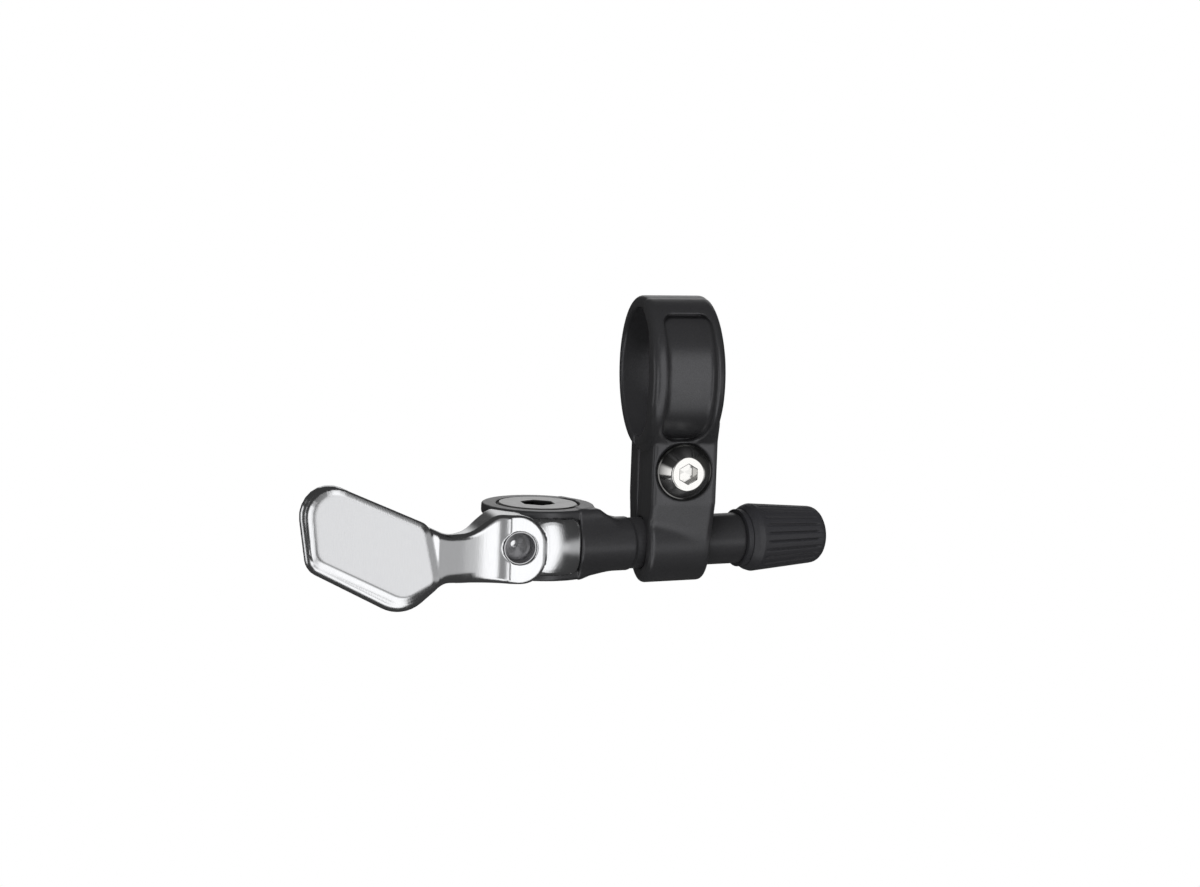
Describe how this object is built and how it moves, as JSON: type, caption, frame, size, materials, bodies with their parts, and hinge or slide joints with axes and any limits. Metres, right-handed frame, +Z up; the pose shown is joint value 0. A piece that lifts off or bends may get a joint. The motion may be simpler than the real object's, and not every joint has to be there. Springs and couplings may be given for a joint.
{
  "type": "dropper post remote lever",
  "caption": "Thumb lever on a slender tube held under a handlebar by a figure-eight band clamp, with a flat pivot and a ribbed cable adjuster knob.",
  "frame": {"origin": "centre of the bar clamp's bore, on the handlebar's axis", "axes": "+X along the handlebar towards its middle, +Y away from the rider, +Z up; the remote's tube lies below, skewed 13 degrees to the bar"},
  "size_m": [0.0971, 0.0273, 0.0521],
  "materials": {
    "black_anodised": "satin black anodised",
    "polished_aluminium": "polished, with a satin blasted paddle face",
    "bright_steel": "polished stainless steel",
    "satin_aluminium": "satin turned",
    "steel": "turned",
    "bush_bronze": "dull bronze",
    "black_plastic": "moulded, ribbed",
    "pale_polymer": "low-friction polymer",
    "black_rubber": "matt"
  },
  "bodies": {
    "clamp": {"clamp_band": "black_anodised", "clamp_bolt": "bright_steel", "clamp_nut": "steel"},
    "perch": {"perch_body": "black_anodised", "pivot_bolt": "satin_aluminium", "pivot_sleeve": "steel", "upper_shim": "pale_polymer", "lower_shim": "pale_polymer", "rest_stop": "black_rubber", "cable_liner": "pale_polymer"},
    "lever": {"lever": "polished_aluminium", "upper_bush": "bush_bronze", "lower_bush": "bush_bronze", "cable_seat": "steel", "return_spring": "steel"},
    "detent": {"detent_ring": "black_plastic", "detent_spring": "steel"},
    "knob": {"adjuster_screw": "black_anodised", "adjuster_knob": "black_plastic", "seal_ring": "black_rubber"}
  },
  "joints": [
    {"name": "perch_swivel", "type": "hinge", "parent": "clamp", "child": "perch", "pos_m": [0, 0, -0.0294], "axis": [0.9744, 0.225, 0], "range_deg": [-30, 30]},
    {"name": "lever_pivot", "type": "hinge", "parent": "perch", "child": "lever", "pos_m": [-0.0229, 0.00138, -0.0294], "axis": [0, 0, -1], "range_deg": [0, 32], "stiffness_Nm_per_rad": 0.12, "springref_deg": -28.65, "deforming": ["return_spring"]},
    {"name": "adjuster_slide", "type": "slide", "parent": "perch", "child": "detent", "axis": [0.9744, 0.225, 0], "range_m": [0, 0.004], "deforming": ["detent_spring"]},
    {"name": "adjuster_turn", "type": "hinge", "parent": "detent", "child": "knob", "pos_m": [0, 0, -0.0294], "axis": [0.9744, 0.225, 0], "range_deg": [0, 1800]}
  ],
  "couplings": [
    {"joint": "adjuster_turn", "follows": "adjuster_slide", "rad_per_m": 7854}
  ]
}
